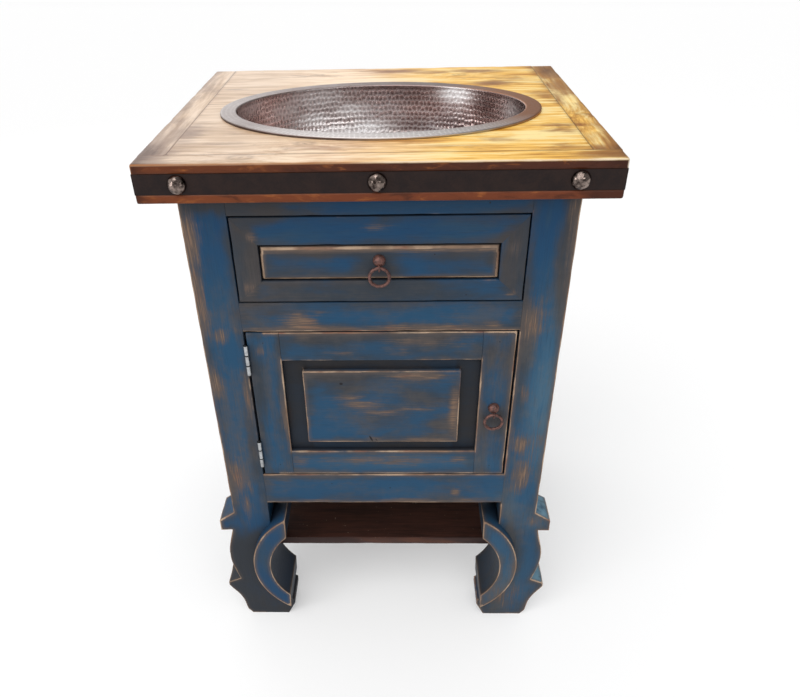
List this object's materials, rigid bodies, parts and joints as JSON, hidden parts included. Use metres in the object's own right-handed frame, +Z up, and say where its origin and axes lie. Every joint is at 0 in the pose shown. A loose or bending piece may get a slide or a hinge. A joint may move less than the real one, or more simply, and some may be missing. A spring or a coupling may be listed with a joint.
{
  "type": "vanity unit",
  "caption": "Rustic vanity unit: strapped pine top with an oval hammered copper basin on a painted cabinet with a drawer, a door, scroll legs and a low shelf.",
  "frame": {"origin": "on the floor, at the middle of the unit's outline in plan", "axes": "+Z up, the front faces -Y, +X to the right as seen from the front"},
  "size_m": [0.6556, 0.5692, 0.928],
  "materials": {
    "pine": "stained and varnished, knotty",
    "black_iron": "satin black, hand forged",
    "nail_bronze": "polished dark bronze, hammered",
    "copper": "hammered, dark patina",
    "drain_bronze": "oil rubbed",
    "blue_paint": "distressed paint over pine",
    "raw_wood": "unfinished",
    "dark_wood": "dark stain, satin",
    "rust_iron": "rust patina",
    "hinge_steel": "bright zinc"
  },
  "bodies": {
    "cabinet": {"top_panel": "pine", "top_front_board": "pine", "top_left_end": "pine", "top_right_end": "pine", "edge_strap": "black_iron", "nail_front_left": "nail_bronze", "nail_front_middle": "nail_bronze", "nail_front_right": "nail_bronze", "nail_left_front": "nail_bronze", "nail_left_rear": "nail_bronze", "nail_right_front": "nail_bronze", "nail_right_rear": "nail_bronze", "sink_basin": "copper", "drain_flange": "drain_bronze", "drain_locknut": "drain_bronze", "drain_tailpiece": "drain_bronze", "front_left_leg": "blue_paint", "front_right_leg": "blue_paint", "rear_left_leg": "blue_paint", "rear_right_leg": "blue_paint", "front_left_scroll": "blue_paint", "front_right_scroll": "blue_paint", "rear_left_scroll": "blue_paint", "rear_right_scroll": "blue_paint", "top_rail": "blue_paint", "middle_rail": "blue_paint", "bottom_rail": "blue_paint", "left_side_panel": "blue_paint", "right_side_panel": "blue_paint", "back_panel": "blue_paint", "left_stretcher": "blue_paint", "right_stretcher": "blue_paint", "cabinet_floor": "raw_wood", "left_runner": "raw_wood", "right_runner": "raw_wood", "door_stop": "raw_wood", "shelf": "dark_wood", "lower_hinge_post_leaf": "hinge_steel", "upper_hinge_post_leaf": "hinge_steel"},
    "drawer": {"drawer_upper_frame": "blue_paint", "drawer_lower_frame": "blue_paint", "drawer_left_frame": "blue_paint", "drawer_right_frame": "blue_paint", "drawer_panel": "blue_paint", "drawer_left_side": "raw_wood", "drawer_right_side": "raw_wood", "drawer_bottom": "raw_wood", "drawer_back": "raw_wood", "drawer_rosette": "rust_iron"},
    "door": {"door_hinge_stile": "blue_paint", "door_latch_stile": "blue_paint", "door_lower_rail": "blue_paint", "door_upper_rail": "blue_paint", "door_panel": "blue_paint", "lower_hinge_door_leaf": "hinge_steel", "upper_hinge_door_leaf": "hinge_steel", "door_rosette": "rust_iron"},
    "drawer_pull": {"drawer_ring": "rust_iron"},
    "door_pull": {"door_ring": "rust_iron"}
  },
  "joints": [
    {"name": "drawer_slide", "type": "slide", "parent": "cabinet", "child": "drawer", "axis": [0, -1, 0], "range_m": [0, 0.25]},
    {"name": "door_hinge", "type": "hinge", "parent": "cabinet", "child": "door", "pos_m": [-0.2065, -0.24985, 0.5165], "axis": [0, 0, -1], "range_deg": [0, 110]},
    {"name": "drawer_ring_swing", "type": "hinge", "parent": "drawer", "child": "drawer_pull", "pos_m": [0, -0.25685, 0.768], "axis": [-1, 0, 0], "range_deg": [0, 100]},
    {"name": "door_ring_swing", "type": "hinge", "parent": "door", "child": "door_pull", "pos_m": [0.17975, -0.25685, 0.509], "axis": [-1, 0, 0], "range_deg": [0, 100]}
  ]
}
